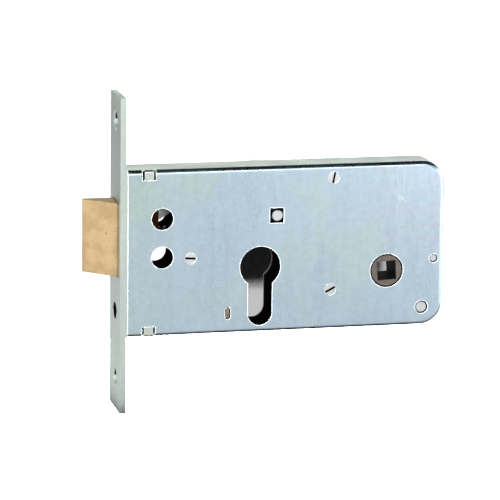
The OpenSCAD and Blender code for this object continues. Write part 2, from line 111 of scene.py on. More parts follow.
class Body(Enum):
    """Bodies of the frame."""

    CASE = "lock_case"
    LATCH = "latch"
    FOLLOWER = "follower_hub"
    LEVER = "cylinder_lever_arm"


# ---- node graphs ------------------------------------------------------------------------


class Graph:
    """A node tree with short calls that place nodes and link them."""

    def __init__(self, tree: NodeTree) -> None:
        """Takes over a node tree.

        Args:
            tree: the material's, world's or group's tree.
        """
        self.tree = tree

    def add(self, kind: str, inputs: dict[int | str, object] | None = None,
            **settings: object) -> Node:
        """Places a node.

        Args:
            kind: the node's type name.
            inputs: what its inputs are fed with, by their name or number.
            settings: properties of the node to set.

        Returns:
            The new node.
        """
        node = self.tree.nodes.new(kind)
        for name, value in settings.items():
            setattr(node, name, value)
        for name, value in (inputs or {}).items():
            self.feed(node.inputs[name], value)
        return node

    def feed(self, socket: NodeSocket, value: object) -> None:
        """Links a socket to a socket, or sets it to a plain value.

        Args:
            socket: the input to feed.
            value: an output socket, a number, a colour or a vector.
        """
        if isinstance(value, NodeSocket):
            self.tree.links.new(value, socket)
        elif isinstance(value, tuple) and socket.type == "RGBA":
            socket.default_value = (*value[:3], 1.0)
        else:
            socket.default_value = value

    def math(self, operation: str, *values: object) -> NodeSocket:
        """A math node's result.

        Args:
            operation: the node's operation.
            values: its inputs, in order.

        Returns:
            The output socket.
        """
        return self.add("ShaderNodeMath", dict(enumerate(values)), operation=operation).outputs[0]

    def times(self, *values: object) -> NodeSocket:
        """The product of two or more values."""
        total = values[0]
        for value in values[1:]:
            total = self.math("MULTIPLY", total, value)
        return total

    def length(self, first: object, second: object) -> NodeSocket:
        """The distance that two steps at a right angle come to."""
        return self.math("SQRT", self.math("ADD", self.times(first, first),
                                           self.times(second, second)))

    def span(self, value: object, low: object, high: object, to_low: float = 0.0,
             to_high: float = 1.0) -> NodeSocket:
        """A value taken smoothly from one range to another, and held at its ends.

        Args:
            value: what is mapped.
            low: the value that gives to_low.
            high: the value that gives to_high.
            to_low: result at low.
            to_high: result at high.

        Returns:
            The output socket.
        """
        ends = dict(enumerate((value, low, high, to_low, to_high)))
        node = self.add("ShaderNodeMapRange", ends, interpolation_type="SMOOTHSTEP")
        return node.outputs["Result"]

    def mix(self, share: object, first: object, second: object,
            blend: str = "MIX") -> NodeSocket:
        """A mix of two colours.

        Args:
            share: how much of the second there is.
            first: a colour or socket.
            second: a colour or socket.
            blend: the blend type.

        Returns:
            The colour socket.
        """
        node = self.add("ShaderNodeMix", data_type="RGBA", blend_type=blend)
        colours = [s for s in node.inputs if s.type == "RGBA"]
        self.feed(node.inputs["Factor"], share)
        self.feed(colours[0], first)
        self.feed(colours[1], second)
        return [s for s in node.outputs if s.type == "RGBA"][0]

    def noise(self, vector: object, scale: float, detail: float = 2.0,
              roughness: float = 0.5) -> NodeSocket:
        """Fractal noise around one half.

        Args:
            vector: where it is read.
            scale: waves per metre.
            detail: how many finer layers it has.
            roughness: how strong those are.

        Returns:
            The value socket.
        """
        return self.add("ShaderNodeTexNoise", {"Vector": vector, "Scale": scale, "Detail": detail,
                                               "Roughness": roughness}).outputs[0]

    def stretch(self, vector: object, scale: Colour, turn: Colour = (0.0, 0.0, 0.0),
                move: Colour = (0.0, 0.0, 0.0)) -> NodeSocket:
        """Coordinates that are moved, turned and stretched.

        Args:
            vector: the coordinates.
            scale: factors along X, Y and Z.
            turn: angles about X, Y and Z.
            move: shift along X, Y and Z.

        Returns:
            The vector socket.
        """
        return self.add("ShaderNodeMapping", {"Vector": vector, "Location": move,
                                              "Rotation": turn, "Scale": scale}).outputs[0]

    def parts(self, vector: object) -> tuple[NodeSocket, ...]:
        """The X, Y and Z sockets of a vector."""
        return tuple(self.add("ShaderNodeSeparateXYZ", {0: vector}).outputs)


class Effects:
    """Shader node groups that more than one finish uses, each built once."""

    def __init__(self) -> None:
        """Builds the groups."""
        self.grain = self._grain()
        self.pits = self._pits()
        self.edge_wear_and_shade = self._edge_wear_and_shade()
        self.hairlines = self._hairlines()
        self.inside = self._inside()

    @staticmethod
    def _start(name: str, inputs: dict[str, tuple[str, object]],
               output: str) -> tuple[Graph, Node, Node]:
        """Starts a node group.

        Args:
            name: the group's name.
            inputs: each input's socket kind and default value.
            output: name of the one value that it puts out.

        Returns:
            The graph, its input node and its output node.
        """
        tree = bpy.data.node_groups.new(name, "ShaderNodeTree")
        for label, (kind, value) in inputs.items():
            socket = tree.interface.new_socket(label, in_out="INPUT", socket_type=kind)
            if value is not None:
                socket.default_value = value
        tree.interface.new_socket(output, in_out="OUTPUT", socket_type="NodeSocketFloat")
        graph = Graph(tree)
        return graph, graph.add("NodeGroupInput"), graph.add("NodeGroupOutput")

    def _grain(self) -> NodeTree:
        """Fine lines that run one way, as rolled or brushed sheet has."""
        graph, start, end = self._start("Rolling grain", {
            "Vector": ("NodeSocketVector", None),
            "Lines": ("NodeSocketVector", (2600.0, 2600.0, 60.0)),
        }, "Grain")
        scaled = graph.add("ShaderNodeVectorMath", dict(enumerate(start.outputs[:2])),
                           operation="MULTIPLY").outputs[0]
        fine = graph.noise(scaled, 1.0, 3.0, 0.6)
        broad = graph.noise(scaled, 0.22, 1.0)
        total = graph.math("ADD", graph.times(fine, 0.6), graph.times(broad, 0.4))
        graph.feed(end.inputs["Grain"], total)
        return graph.tree

    def _pits(self) -> NodeTree:
        """Sparse round pits, as castings and sintered parts have."""
        graph, start, end = self._start("Pits", {
            "Vector": ("NodeSocketVector", None),
            "Scale": ("NodeSocketFloat", 900.0),
            "Size": ("NodeSocketFloat", 0.25),
            "Share": ("NodeSocketFloat", 0.3),
        }, "Pits")
        cells = graph.add("ShaderNodeTexVoronoi", {"Vector": start.outputs["Vector"],
                                                   "Scale": start.outputs["Scale"]})
        spot = graph.span(cells.outputs["Distance"], start.outputs["Size"], 0.0)
        chosen = graph.math("LESS_THAN", graph.parts(cells.outputs["Color"])[0],
                            start.outputs["Share"])
        graph.feed(end.inputs["Pits"], graph.times(spot, chosen))
        return graph.tree

    def _edge_wear_and_shade(self) -> NodeTree:
        """How near a point lies to an edge, where finishes show wear from handling and the studs
        and screws a painted ring of shade.
        """
        graph, start, end = self._start("Worn edge", {
            "Radius": ("NodeSocketFloat", 0.0004),
            "Breakup": ("NodeSocketFloat", 0.5),
        }, "Edge")
        rounded = graph.add("ShaderNodeBevel", {"Radius": start.outputs["Radius"]}, samples=4)
        flat = graph.add("ShaderNodeNewGeometry")
        facing = graph.add("ShaderNodeVectorMath",
                           {0: rounded.outputs[0], 1: flat.outputs["Normal"]},
                           operation="DOT_PRODUCT")
        bend = graph.span(facing.outputs["Value"], 1.0, 0.86)
        graph.feed(end.inputs["Edge"], graph.times(bend, start.outputs["Breakup"]))
        return graph.tree

    def _hairlines(self) -> NodeTree:
        """A few thin scratches from handling."""
        graph, start, end = self._start("Hairlines", {
            "Vector": ("NodeSocketVector", None),
            "Share": ("NodeSocketFloat", 0.06),
        }, "Lines")
        total: object = 0.0
        for turn, across, move in ((0.05, 210.0, 0.3), (-0.35, 150.0, 1.7), (0.9, 120.0, 4.1)):
            where = graph.stretch(start.outputs["Vector"], (across, across, 26.0),
                                  (0.0, turn, 0.0), (move, 0.0, move))
            lines = graph.add("ShaderNodeTexVoronoi", {"Vector": where, "Scale": 1.0},
                              feature="DISTANCE_TO_EDGE")
            thin = graph.span(lines.outputs["Distance"], 0.016, 0.004)
            patch = graph.noise(where, 0.7, 1.0)
            chosen = graph.span(patch, graph.math("SUBTRACT", 0.7, start.outputs["Share"]), 0.78)
            total = graph.math("MAXIMUM", total, graph.times(thin, chosen))
        graph.feed(end.inputs["Lines"], total)
        return graph.tree

    def _inside(self) -> NodeTree:
        """What lies within the case's outline, further in than the margin."""
        graph, start, end = self._start("Inside the case", {
            "Vector": ("NodeSocketVector", None),
            "Margin": ("NodeSocketFloat", 0.6 * MM),
            "Corner": ("NodeSocketFloat", 9.5 * MM),
        }, "Inside")
        low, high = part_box("side_plate")
        across, _, up = graph.parts(start.outputs["Vector"])
        reach = []
        for value, near, far in ((across, low.x - 0.02, high.x), (up, low.z, high.z)):
            offset = graph.math("ABSOLUTE", graph.math("SUBTRACT", value, (near + far) / 2))
            straight = graph.math("SUBTRACT", (far - near) / 2, start.outputs["Corner"])
            reach.append(graph.math("SUBTRACT", offset, straight))
        corner = graph.length(*(graph.math("MAXIMUM", part, 0.0) for part in reach))
        flat = graph.math("MINIMUM", graph.math("MAXIMUM", *reach), 0.0)
        depth = graph.math("SUBTRACT", start.outputs["Corner"], graph.math("ADD", corner, flat))
        deeper = graph.math("GREATER_THAN", depth, start.outputs["Margin"])
        graph.feed(end.inputs["Inside"], deeper)
        return graph.tree


# ---- finishes ---------------------------------------------------------------------------


class Canvas(Graph):
    """A material's nodes, with its shader, Object coordinates and the shared effects."""

    def __init__(self, tree: NodeTree, effects: Effects) -> None:
        """Takes over a new material's tree.

        Args:
            tree: the material's tree.
            effects: the shared node groups.
        """
        super().__init__(tree)
        self.effects = effects
        self.shader = tree.nodes["Principled BSDF"]
        self.place = self.add("ShaderNodeTexCoord").outputs["Object"]
        self.axes = self.parts(self.place)

    def effect(self, name: str, **inputs: object) -> NodeSocket:
        """Places a shared effect, which reads Object coordinates if it takes any.

        Args:
            name: the effect's name in Effects.
            inputs: values of its other inputs.

        Returns:
            The effect's output.
        """
        node = self.add("ShaderNodeGroup", inputs, node_tree=getattr(self.effects, name))
        if "Vector" in node.inputs:
            self.feed(node.inputs["Vector"], self.place)
        return node.outputs[0]


@dataclass(frozen=True)
class Finish:
    """What every metal finish sets directly on its shader.

    Attributes:
        name: the material's name.
        colour: main colour.
        metallic: how metallic the surface is.
        roughness: middle roughness.
        spread: how far roughness varies to either side.
        bump: height of the relief.
    """

    name: str
    colour: Colour
    metallic: float = 1.0
    roughness: float = 0.35
    spread: float = 0.08
    bump: float = 0.00001

    def material(self, effects: Effects) -> Material:
        """Builds the material.

        Args:
            effects: the shared node groups.

        Returns:
            The material.
        """
        material = bpy.data.materials.new(self.name)
        material.use_nodes = True
        material.diffuse_color = (*self.colour, 1.0)
        canvas = Canvas(material.node_tree, effects)
        canvas.shader.inputs["Metallic"].default_value = self.metallic
        self._paint(canvas)
        return material

    def _paint(self, canvas: Canvas) -> None:
        """Adds the finish's own nodes."""
        raise NotImplementedError

    def _rough(self, canvas: Canvas, value: object, low: float = 0.3,
               high: float = 0.7) -> NodeSocket:
        """Roughness that follows a value between two bounds."""
        return canvas.span(value, low, high, self.roughness - self.spread,
                          self.roughness + self.spread)

    @staticmethod
    def _darken_with_shade(canvas: Canvas, where: object, oil: Colour) -> None:
        """Darkens a finish with painted shade, and raises its roughness there towards
        OIL_ROUGHNESS.

        Args:
            canvas: the material's nodes.
            where: how much painted shade there is.
            oil: the painted shade's colour.
        """
        colour, rough = canvas.shader.inputs["Base Color"], canvas.shader.inputs["Roughness"]
        canvas.feed(colour, canvas.mix(where, colour.links[0].from_socket, oil))
        dry = rough.links[0].from_socket
        change = canvas.times(canvas.math("SUBTRACT", OIL_ROUGHNESS, dry), where)
        canvas.feed(rough, canvas.math("ADD", dry, change))

    def _relief(self, canvas: Canvas, height: object, strength: float) -> None:
        """Links a relief to the shader's normal.

        Args:
            canvas: the material's nodes.
            height: socket with the relief, from 0 to 1.
            strength: share of the relief that shows.
        """
        bump = canvas.add("ShaderNodeBump", {"Strength": strength, "Distance": self.bump,
                                            "Height": height})
        canvas.feed(canvas.shader.inputs["Normal"], bump.outputs[0])


@dataclass(frozen=True)
class ZincPlate(Finish):
    """Bright zinc plating over rolled sheet, with a faint play of colour.

    Attributes:
        green: tint towards the forend and in broad clouds.
        lilac: tint of the upper rear corner.
        streak: how strongly the rolling grain shows in the colour.
        lines: scale of the rolling grain along X, Y and Z.
        slot_shade_depth: depth under the cover's face from which the screws' slots and sides are
            painted dark as shade, or None.
        outer_face: Y of the sheet's outer face, behind which the faces inside the case are
            painted dark as shade, or None.
        margin: how far inside the case's outline the painted shade starts.
        bores: radius of the forend's holes, by their Z, whose walls and the upper half of whose
            countersinks are painted dark as shade.
        edge_reach: how far from an edge the edge tone reaches.
        edge_wear_and_shade_tone: colour of the edges: worn plating on most finishes, a painted
            ring of shade where it is dark, as on the studs and screws.
        edge_metal: how metallic those edges are.
    """

    green: Colour = (0.68, 0.84, 0.82)
    lilac: Colour = (0.76, 0.77, 0.93)
    streak: float = 0.03
    lines: Colour = (1500.0, 1500.0, 90.0)
    slot_shade_depth: float | None = None
    outer_face: float | None = None
    margin: float = 0.6 * MM
    bores: tuple[tuple[float, float], ...] = ()
    edge_reach: float = 0.0002
    edge_wear_and_shade_tone: Colour = (0.97, 0.98, 0.98)
    edge_metal: float = 0.6

    def _paint(self, canvas: Canvas) -> None:
        """Adds the plating.

        Args:
            canvas: the material's nodes.
        """
        colour = self._clouds(canvas)
        grain = canvas.effect("grain", Lines=self.lines)
        shade = canvas.span(grain, 0.3, 0.7, 1.0 - self.streak, 1.0 + self.streak * 0.5)
        mottle = canvas.noise(canvas.place, 420.0, 3.0, 0.6)
        shade = canvas.times(shade, canvas.span(mottle, 0.3, 0.7, 0.955, 1.03))
        colour = canvas.mix(1.0, colour, self._grey(canvas, shade), "MULTIPLY")
        scratch = canvas.effect("hairlines", Share=0.02)
        specks = canvas.effect("pits", Scale=300.0, Size=0.12, Share=0.10)
        marks = canvas.math("MAXIMUM", scratch, canvas.times(specks, 0.8))
        edge = canvas.effect("edge_wear_and_shade", Radius=self.edge_reach, Breakup=0.9)
        colour = canvas.mix(canvas.times(marks, 0.75), colour, (0.97, 0.98, 0.98))
        # Edge tone: worn plating on most finishes; the studs' and screws' dark tone paints a ring
        # of shade round them.
        colour = canvas.mix(edge, colour, self.edge_wear_and_shade_tone)
        metal = canvas.span(edge, 0.0, 1.0, self.metallic, self.edge_metal)
        smears = canvas.noise(canvas.stretch(canvas.place, (70.0, 70.0, 25.0)), 1.0, 2.0)
        rough = canvas.math("ADD", canvas.span(grain, 0.3, 0.7, -0.03, 0.03),
                           self._rough(canvas, smears))
        canvas.feed(canvas.shader.inputs["Base Color"], colour)
        canvas.feed(canvas.shader.inputs["Metallic"], metal)
        canvas.feed(canvas.shader.inputs["Roughness"], rough)
        # Painted shade, laid over the plating where the mask says.
        shade_mask = self._shade_mask(canvas)
        if shade_mask is not None:
            self._darken_with_shade(canvas, shade_mask, HOUSING_PAINTED_SHADE)
        self._relief(canvas, canvas.math("SUBTRACT", grain, scratch), 0.35)

    def _shade_mask(self, canvas: Canvas) -> NodeSocket | None:
        """Where shade is painted: in the screw slots, on the faces inside the case and in the
        forend's holes.

        Args:
            canvas: the material's nodes.

        Returns:
            The mask's socket, or None where no shade is painted.
        """
        depth, up = canvas.axes[1:]
        # Painted shade in the screws' slots and on their sides, deeper than the cover's face.
        if self.slot_shade_depth is not None:
            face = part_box("cover")[0].y
            return canvas.span(depth, face + 0.4 * self.slot_shade_depth, face + self.slot_shade_depth)
        # Painted shade on the faces inside the case's outline that lie behind the sheet's outer
        # face, the seams among them.
        if self.outer_face is not None:
            inner = self.outer_face * (1.0 - 0.25 * MM / abs(self.outer_face))
            turned = "GREATER_THAN" if self.outer_face < 0 else "LESS_THAN"
            behind = canvas.math(turned, depth, inner)
            if self.outer_face > 0:
                bent = canvas.math("GREATER_THAN", depth, -self.outer_face + 1.7 * MM)
                behind = canvas.times(behind, bent)
            inside = canvas.effect("inside", Margin=self.margin)
            return canvas.times(behind, inside)
        if not self.bores:
            return None
        # Painted shade in the forend's holes: on each bore's wall and on the upper half of its
        # countersink.
        total: object = 0.0
        for height, radius in self.bores:
            rise = canvas.math("SUBTRACT", up, height)
            away = canvas.length(rise, depth)
            cone = canvas.times(canvas.span(away, radius + 1.5 * MM, radius + 0.9 * MM),
                              canvas.span(rise, -0.6 * MM, 0.6 * MM))
            wall = canvas.span(away, radius + 0.25 * MM, radius + 0.05 * MM)
            total = canvas.math("MAXIMUM", total, canvas.math("MAXIMUM", wall, cone))
        return total

    def _clouds(self, canvas: Canvas) -> NodeSocket:
        """The plating's play of colour.

        Args:
            canvas: the material's nodes.

        Returns:
            The colour socket.
        """
        across, _, up = canvas.axes
        clouds = canvas.noise(canvas.place, 34.0, 3.0, 0.55)
        near_forend = canvas.span(across, -0.024, -0.060)
        green_share = canvas.math("ADD", canvas.times(near_forend, 0.55),
                                 canvas.span(clouds, 0.46, 0.66, 0.0, 0.75))
        colour = canvas.mix(green_share, self.colour, self.green)
        corner = canvas.times(canvas.span(across, 0.018, 0.066),
                            canvas.span(up, -0.012, 0.018))
        tilted = canvas.stretch(canvas.place, (60.0, 60.0, 260.0), (0.0, -0.3, 0.0))
        bands = canvas.noise(tilted, 1.0, 3.0)
        lilac_share = canvas.times(corner, canvas.span(bands, 0.36, 0.62))
        return canvas.mix(canvas.times(lilac_share, 0.45), colour, self.lilac)

    @staticmethod
    def _grey(canvas: Canvas, value: object) -> NodeSocket:
        """A grey colour from a value."""
        return canvas.add("ShaderNodeCombineColor", dict.fromkeys(range(3), value)).outputs[0]


@dataclass(frozen=True)
class CastBrass(Finish):
    """Tumbled cast brass: matt, mottled, with a few dark pits.

    Attributes:
        deep: colour of its darker clouds.
        pale: colour of its lighter mottling.
    """

    deep: Colour = (0.52, 0.33, 0.15)
    pale: Colour = (0.93, 0.74, 0.47)

    def _paint(self, canvas: Canvas) -> None:
        """Adds the casting.

        Args:
            canvas: the material's nodes.
        """
        mottle = canvas.noise(canvas.place, 1500.0, 3.0, 0.65)
        clouds = canvas.noise(canvas.place, 160.0, 2.0)
        colour = canvas.mix(canvas.span(mottle, 0.42, 0.66), self.colour, self.pale)
        colour = canvas.mix(canvas.span(clouds, 0.62, 0.35, 0.0, 0.35), colour, self.deep)
        pits = canvas.effect("pits", Scale=420.0, Size=0.2, Share=0.07)
        fine = canvas.effect("pits", Scale=1500.0, Size=0.4, Share=0.16)
        dark = canvas.math("MAXIMUM", pits, canvas.times(fine, 0.45))
        colour = canvas.mix(dark, colour, (0.12, 0.07, 0.03))
        edge = canvas.effect("edge_wear_and_shade", Radius=0.0006, Breakup=0.85)
        colour = canvas.mix(edge, colour, (0.20, 0.11, 0.045))
        canvas.feed(canvas.shader.inputs["Base Color"], colour)
        canvas.feed(canvas.shader.inputs["Roughness"], self._rough(canvas, mottle, 0.35, 0.65))
        # Painted shade on the latch where it runs into the case, fading in over 3 mm from the
        # side plate's front.
        across = canvas.axes[0]
        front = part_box("side_plate")[0].x
        self._darken_with_shade(canvas, canvas.span(across, front, front + 3.0 * MM), LATCH_PAINTED_SHADE)
        self._relief(canvas, canvas.math("SUBTRACT", mottle, dark), 0.7)


@dataclass(frozen=True)
class Sintered(Finish):
    """Sintered iron: an even fine grain, open pores and a brown oil tone.

    Attributes:
        pore: colour of the pores and the edges.
        axis: X and Z of the follower's axis.
        rim: radius of the hub's end, whose rim is painted dark as the shade in the gap round it.
    """

    pore: Colour = (0.06, 0.045, 0.035)
    axis: tuple[float, float] = (54.6 * MM, -3.8 * MM)
    rim: float = 6.95 * MM

    def _paint(self, canvas: Canvas) -> None:
        """Adds the sintered grain.

        Args:
            canvas: the material's nodes.
        """
        grain = canvas.noise(canvas.place, 2600.0, 3.0, 0.7)
        light = tuple(min(1.0, c * 1.7) for c in self.colour)
        colour = canvas.mix(canvas.span(grain, 0.4, 0.68), self.colour, light)
        pores = canvas.effect("pits", Scale=2100.0, Size=0.42, Share=0.3)
        colour = canvas.mix(canvas.times(pores, 0.8), colour, self.pore)
        edge = canvas.effect("edge_wear_and_shade", Radius=0.0003, Breakup=0.7)
        colour = canvas.mix(edge, colour, self.pore)
        canvas.feed(canvas.shader.inputs["Base Color"], colour)
        canvas.feed(canvas.shader.inputs["Roughness"], self._rough(canvas, grain))
        # Painted shade: a dark ring at the hub's rim, and the sides that lie below its face
        # inside the case.
        across, depth, up = canvas.axes
        away = canvas.length(canvas.math("SUBTRACT", across, self.axis[0]),
                            canvas.math("SUBTRACT", up, self.axis[1]))
        rim = canvas.span(away, self.rim - 0.5 * MM, self.rim - 0.3 * MM)
        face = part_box("follower")[1].y
        below = canvas.span(canvas.math("ABSOLUTE", depth), face - 0.1 * MM, face - 0.5 * MM)
        self._darken_with_shade(canvas, canvas.math("MAXIMUM", rim, below), HUB_PAINTED_SHADE)
        self._relief(canvas, canvas.math("SUBTRACT", grain, pores), 0.8)


@dataclass(frozen=True)
class PlainMetal(Finish):
    """Blanked, drawn or rolled metal without plating, lightly oiled.

    Attributes:
        stain: colour of the oil and heat stains.
        lines: scale of the grain along X, Y and Z.
    """

    stain: Colour = (0.20, 0.17, 0.14)
    lines: Colour = (160.0, 2600.0, 2600.0)

    def _paint(self, canvas: Canvas) -> None:
        """Adds the grain and the stains.

        Args:
            canvas: the material's nodes.
        """
        grain = canvas.effect("grain", Lines=self.lines)
        stains = canvas.noise(canvas.place, 240.0, 3.0, 0.6)
        dark = tuple(c * 0.72 for c in self.colour)
        colour = canvas.mix(canvas.span(grain, 0.35, 0.65), dark, self.colour)
        colour = canvas.mix(canvas.span(stains, 0.55, 0.75, 0.0, 0.5), colour, self.stain)
        edge = canvas.effect("edge_wear_and_shade", Radius=0.0002, Breakup=0.5)
        colour = canvas.mix(edge, colour, (0.70, 0.70, 0.70))
        canvas.feed(canvas.shader.inputs["Base Color"], colour)
        canvas.feed(canvas.shader.inputs["Roughness"], self._rough(canvas, stains))
        self._relief(canvas, grain, 0.5)


# ---- bench work -------------------------------------------------------------------------


class Bench:
    """Operations that a person does to one mesh at a time."""

    @staticmethod
    def take(piece: Object) -> None:
        """Selects one object alone and makes it active."""
        bpy.ops.object.select_all(action="DESELECT")
        piece.select_set(True)
        bpy.context.view_layer.objects.active = piece

    @staticmethod
    def apply(piece: Object, kind: str, **settings: object) -> None:
        """Adds a modifier with its settings and applies it.

        Args:
            piece: the object.
            kind: the modifier's type.
            settings: its properties.
        """
        Bench.take(piece)
        modifier = piece.modifiers.new(kind.title(), kind)
        for name, value in settings.items():
            setattr(modifier, name, value)
        bpy.ops.object.modifier_apply(modifier=modifier.name)

    @staticmethod
    def copy_node(node: str, name: str) -> Object:
        """Copies a CAD node's mesh, joins its loose triangles and clears the lines in its flats.

        Args:
            node: the node's name.
            name: the new piece's name.

        Returns:
            The new piece.
        """
        source = frame["nodes"][node]
        piece = bpy.data.objects.new(name, source.data.copy())
        piece.data.name = name
        piece.data.materials.clear()
        bpy.context.scene.collection.objects.link(piece)
        Bench.clean(piece)
        return piece

    @staticmethod
    def clean(piece: Object) -> None:
        """Joins a piece's loose triangles and clears the lines in its flats."""
        Bench.take(piece)
        bpy.ops.object.mode_set(mode="EDIT")
        bpy.ops.mesh.select_all(action="SELECT")
        bpy.ops.mesh.remove_doubles(threshold=0.002 * MM)
        bpy.ops.mesh.dissolve_limited(angle_limit=math.radians(0.5))
        bpy.ops.object.mode_set(mode="OBJECT")

    @staticmethod
    def soften(piece: Object, width: float, segments: int = 2,
               angle: float = 32.0) -> None:
        """Breaks a piece's sharp edges.

        Args:
            piece: the object.
            width: width of the broken edge.
            segments: steps across it.
            angle: least angle in degrees at which an edge counts as sharp.
        """
        Bench.apply(piece, "BEVEL", width=width, segments=segments, limit_method="ANGLE",
                    angle_limit=math.radians(angle), use_clamp_overlap=True,
                    miter_outer="MITER_ARC")

    @staticmethod
    def smooth(piece: Object, angle: float = 35.0) -> None:
        """Shades a piece smoothly across edges flatter than an angle in degrees."""
        Bench.take(piece)
        bpy.ops.object.shade_smooth_by_angle(angle=math.radians(angle))
        Bench.apply(piece, "WEIGHTED_NORMAL", keep_sharp=True, weight=50)

    @staticmethod
    def wire(points: list[Vector], radius: float, name: str) -> Object:
        """Bends round wire along a path and closes its ends.

        Args:
            points: the wire's centreline.
            radius: the wire's radius.
            name: the new piece's name.

        Returns:
            The wire as a mesh.
        """
        bpy.ops.object.select_all(action="DESELECT")
        bpy.ops.curve.primitive_nurbs_path_add()
        piece = bpy.context.object
        piece.name = name
        curve = piece.data
        curve.splines.clear()
        spline = curve.splines.new("POLY")
        spline.points.add(len(points) - 1)
        for knot, point in zip(spline.points, points):
            knot.co = (*point, 1.0)
        curve.dimensions = "3D"
        curve.twist_mode = "MINIMUM"
        curve.bevel_depth = radius
        curve.bevel_resolution = 3
        curve.use_fill_caps = True
        Bench.take(piece)
        bpy.ops.object.convert(target="MESH")
        piece = bpy.context.object
        bpy.ops.object.mode_set(mode="EDIT")
        bpy.ops.mesh.select_all(action="SELECT")
        bpy.ops.mesh.remove_doubles(threshold=0.001 * MM)
        bpy.ops.mesh.normals_make_consistent(inside=False)
        bpy.ops.object.mode_set(mode="OBJECT")
        piece.data.name = name
        return piece

    @staticmethod
    def peen(piece: Object, height: float, spread: float) -> None:
        """Swells the riveted ends of pins, the faces that point to +Y and lie furthest out.

        Args:
            piece: the pins.
            height: how far the ends stand out.
            spread: the end's size after peening, as a share of the pin's.
        """
        Bench.take(piece)
        outer = max(v.co.y for v in piece.data.vertices)
        centres = [p.center.copy() for p in piece.data.polygons
                   if p.normal.y > 0.9 and p.center.y > outer - 0.1 * MM]
        for centre in centres:
            bpy.ops.object.mode_set(mode="EDIT")
            bpy.ops.mesh.select_mode(type="FACE")
            bpy.ops.mesh.select_all(action="DESELECT")
            bpy.ops.object.mode_set(mode="OBJECT")
            for face in piece.data.polygons:
                near = (face.center - centre).length < 0.3 * MM
                face.select = near and face.normal.y > 0.9
            bpy.ops.object.mode_set(mode="EDIT")
            for part in (0.55, 0.45):
                bpy.ops.mesh.extrude_region_move(
                    TRANSFORM_OT_translate={"value": (0.0, height * part, 0.0)})
                bpy.ops.transform.resize(value=(spread, 1.0, spread), center_override=centre)
            bpy.ops.object.mode_set(mode="OBJECT")


@dataclass
class Assembly:
    """A group of pieces that one material or maker's step goes with.

    Attributes:
        materials: the finishes, by slot.
        pieces: what has been built, by name.
    """

    materials: dict[Look, Material]
    pieces: dict[str, Object] = field(default_factory=dict)

    def settle(self, piece: Object, look: Look, body: Body | None,
               *nodes: str) -> Object:
        """Gives a piece its finish and body, and hides the CAD nodes that it stands for.

        Args:
            piece: the finished mesh.
            look: its finish.
            body: the body that it rides on, or None to leave it on no body.
            nodes: the CAD nodes that it stands for.

        Returns:
            The piece.
        """
        piece.data.materials.clear()
        piece.data.materials.append(self.materials[look])
        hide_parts(*nodes)
        if body is not None:
            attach(piece, body.value)
        self.pieces[piece.name] = piece
        LOG.info("%s: %d faces", piece.name, len(piece.data.polygons))
        return piece

    def from_node(self, node: str, name: str, look: Look, body: Body, edge: float,
                  segments: int = 2) -> Object:
        """Makes a piece from its CAD node, with its edges broken.

        Args:
            node: the CAD node.
            name: the piece's name.
            look: its finish.
            body: the body that it rides on.
            edge: width of its broken edges, or 0 to keep them.
            segments: steps across them.

        Returns:
            The piece.
        """
        piece = Bench.copy_node(node, name)
        if edge > 0:
            Bench.soften(piece, edge, segments)
        Bench.smooth(piece)
        return self.settle(piece, look, body, node)


@dataclass
class Housing(Assembly):
    """Forend, case and cover.

    Attributes:
        plate_edge: broken edge of the forend.
        sheet_edge: broken edge of the pressed sheets.
        walls: the walls that are of one sheet with the side plate.
    """

    plate_edge: float = 0.18 * MM
    sheet_edge: float = 0.16 * MM
    walls: tuple[str, ...] = ("front_wall", "top_wall", "bottom_wall", "rear_wall")

    def build(self) -> None:
        """Builds the three sheets."""
        self.from_node("forend", "forend_plate", Look.FOREND, Body.CASE, self.plate_edge)
        self.from_node("cover", "cover_plate", Look.COVER, Body.CASE, self.sheet_edge)
        self._case()

    def _case(self) -> None:
        """Welds the four walls to the side plate, as they are one pressed sheet."""
        tray = Bench.copy_node("side_plate", "case_tray")
        for node in self.walls:
            wall = Bench.copy_node(node, "case_" + node)
            Bench.apply(tray, "BOOLEAN", operation="UNION", object=wall, solver="EXACT")
            bpy.data.objects.remove(wall)
        Bench.clean(tray)
        Bench.soften(tray, self.sheet_edge)
        Bench.smooth(tray)
        self.settle(tray, Look.CASE, Body.CASE, "side_plate", *self.walls)


@dataclass
class Fixings(Assembly):
    """Screws, rivets, pillars and studs that hold the lock together.

    Attributes:
        screw_edge: broken edge of the screw heads.
        pin_edge: broken edge of pins and pillars.
        peen_height: how far a riveted end stands out.
        peen_spread: how it narrows at each step.
    """

    screw_edge: float = 0.16 * MM
    pin_edge: float = 0.2 * MM
    peen_height: float = 0.3 * MM
    peen_spread: float = 0.86

    def build(self) -> None:
        """Builds every fixing."""
        self.from_node("cover_screws", "slotted_screws", Look.SCREWS, Body.CASE, self.screw_edge)
        self.from_node("forend_rivets", "flush_rivets", Look.FOREND, Body.CASE, self.pin_edge)
        for node, name, look in (("screw_pillars", "threaded_pillars", Look.STEEL),
                                 ("tail_guide_stud", "shouldered_guide", Look.STEEL),
                                 ("spring_stud", "stud_for_spring", Look.STUDS),
                                 ("stop_pin", "stop_for_follower", Look.STUDS),
                                 ("lever_pivot", "pivot_for_lever", Look.STUDS)):
            self._riveted(node, name, look)
        self.from_node("screw_guide", "guide_strip", Look.BRONZE, Body.CASE, self.screw_edge)
        self.from_node("spring_bracket", "bent_bracket", Look.STEEL, Body.CASE, self.pin_edge)
        self.from_node("spring_rod", "turned_rod", Look.STEEL, Body.CASE, self.pin_edge)

    def _riveted(self, node: str, name: str, look: Look) -> None:
        """Builds pins whose far ends are peened over the side plate.

        Args:
            node: the CAD node.
            name: the piece's name.
            look: its finish.
        """
        piece = Bench.copy_node(node, name)
        Bench.soften(piece, self.pin_edge)
        Bench.peen(piece, self.peen_height, self.peen_spread)
        Bench.smooth(piece)
        self.settle(piece, look, Body.CASE, node)


